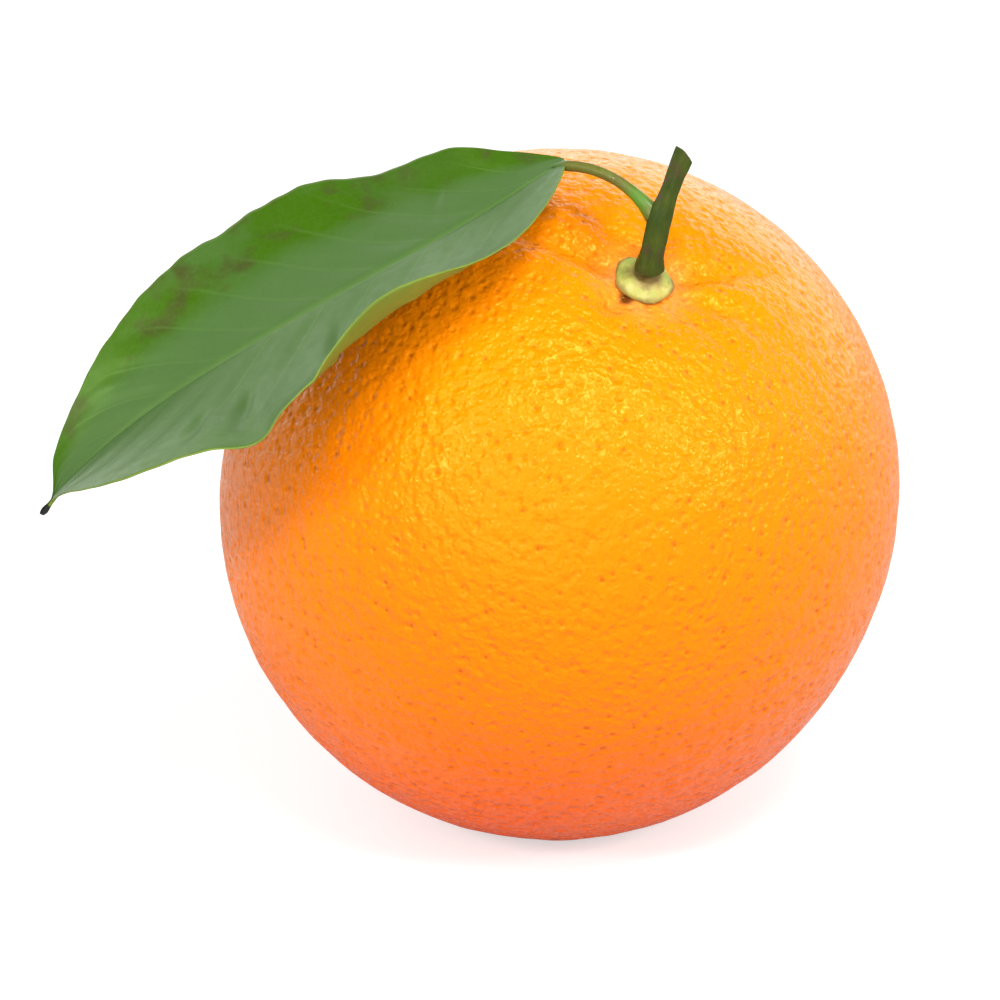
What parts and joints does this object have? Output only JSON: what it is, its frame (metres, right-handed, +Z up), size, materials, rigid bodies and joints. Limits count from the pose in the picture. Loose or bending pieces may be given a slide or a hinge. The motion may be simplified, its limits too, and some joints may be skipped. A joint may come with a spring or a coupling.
{
  "type": "orange with stem and leaf",
  "caption": "Whole round orange with a lobed calyx, a short cut stem and one folded leaf on its stalk.",
  "frame": {"origin": "centre of the small flat spot that the fruit rests on", "axes": "+Z up, out of the surface it rests on; the leaf lies along X and points to -X; the stem end faces up, to +X and to -Y"},
  "size_m": [0.0988, 0.0827, 0.0856],
  "materials": {
    "rind": "glossy pebbled orange rind",
    "calyx_green": "matt pale yellow-green, brown at the lobe tips",
    "twig_green": "matt dark green bark",
    "stalk_green": "satin olive green",
    "leaf_green": "waxy satin green, paler underneath"
  },
  "bodies": {
    "root": {"fruit": "rind", "calyx": "calyx_green", "stem": "twig_green", "petiole": "stalk_green", "leaf_blade": "leaf_green"}
  },
  "joints": []
}
